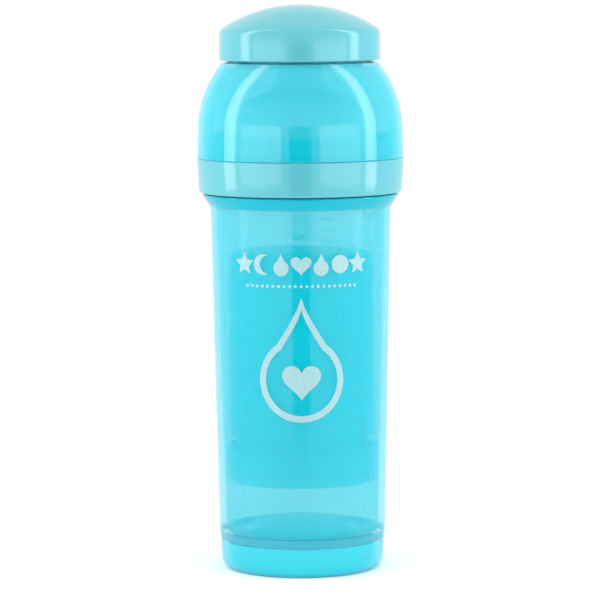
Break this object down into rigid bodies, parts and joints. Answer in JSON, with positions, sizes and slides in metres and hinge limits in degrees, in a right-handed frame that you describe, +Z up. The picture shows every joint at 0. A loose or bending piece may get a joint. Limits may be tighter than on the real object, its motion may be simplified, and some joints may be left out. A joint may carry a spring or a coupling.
{
  "type": "baby bottle",
  "caption": "Tall tapered feeding bottle with screw collar, silicone teat, mixing grid, push-fit hood with screw lid, and a powder container inside.",
  "frame": {"origin": "centre of the ring that the bottle stands on, at its lowest point", "axes": "+Z up along the bottle's axis, -Y towards the front"},
  "size_m": [0.0702, 0.0702, 0.1914],
  "materials": {
    "bottle_plastic": "translucent moulded polypropylene, glossy",
    "hood_plastic": "translucent moulded polypropylene, glossy",
    "opaque_plastic": "opaque pastel moulded polypropylene, semi-gloss",
    "container_plastic": "translucent moulded polypropylene, satin",
    "grid_plastic": "moulded polypropylene, satin",
    "silicone": "clear soft silicone"
  },
  "bodies": {
    "bottle": {"bottle": "bottle_plastic"},
    "collar": {"collar": "opaque_plastic"},
    "mixer_grid": {"mixer_grid": "grid_plastic"},
    "teat": {"teat": "silicone"},
    "hood": {"hood": "hood_plastic"},
    "lid_seal": {"lid_seal": "silicone"},
    "lid": {"lid": "opaque_plastic"},
    "container_lid": {"container_lid": "container_plastic"},
    "container_seal": {"container_seal": "silicone"},
    "container_cup": {"container_cup": "container_plastic"}
  },
  "joints": [
    {"name": "mixer_rise", "type": "slide", "parent": "bottle", "child": "mixer_grid", "axis": [0, 0, 1], "range_m": [0, 0.0046]},
    {"name": "collar_rise", "type": "slide", "parent": "bottle", "child": "teat", "axis": [0, 0, 1], "range_m": [0, 0.0053]},
    {"name": "collar_turn", "type": "hinge", "parent": "teat", "child": "collar", "pos_m": [0, 0, 0.134], "axis": [0, 0, 1], "range_deg": [0, 450]},
    {"name": "hood_lift", "type": "slide", "parent": "collar", "child": "hood", "axis": [0, 0, 1], "range_m": [0, 0.06]},
    {"name": "lid_rise", "type": "slide", "parent": "hood", "child": "lid_seal", "axis": [0, 0, 1], "range_m": [0, 0.0041]},
    {"name": "lid_turn", "type": "hinge", "parent": "lid_seal", "child": "lid", "pos_m": [0, 0, 0.182], "axis": [0, 0, 1], "range_deg": [0, 360]},
    {"name": "container_slide", "type": "slide", "parent": "bottle", "child": "container_lid", "axis": [0, 0, 1], "range_m": [0, 0.022]},
    {"name": "cup_turn", "type": "hinge", "parent": "container_lid", "child": "container_seal", "pos_m": [0, 0, 0.037], "axis": [0, 0, 1], "range_deg": [0, 360]},
    {"name": "cup_rise", "type": "slide", "parent": "container_seal", "child": "container_cup", "axis": [0, 0, 1], "range_m": [0, 0.0041]}
  ],
  "couplings": [
    {"joint": "collar_rise", "follows": "collar_turn", "m_per_rad": 0.00066845},
    {"joint": "mixer_rise", "follows": "collar_turn", "m_per_rad": 0.00057296},
    {"joint": "lid_rise", "follows": "lid_turn", "m_per_rad": 0.00063662},
    {"joint": "cup_rise", "follows": "cup_turn", "m_per_rad": 0.00063662}
  ]
}
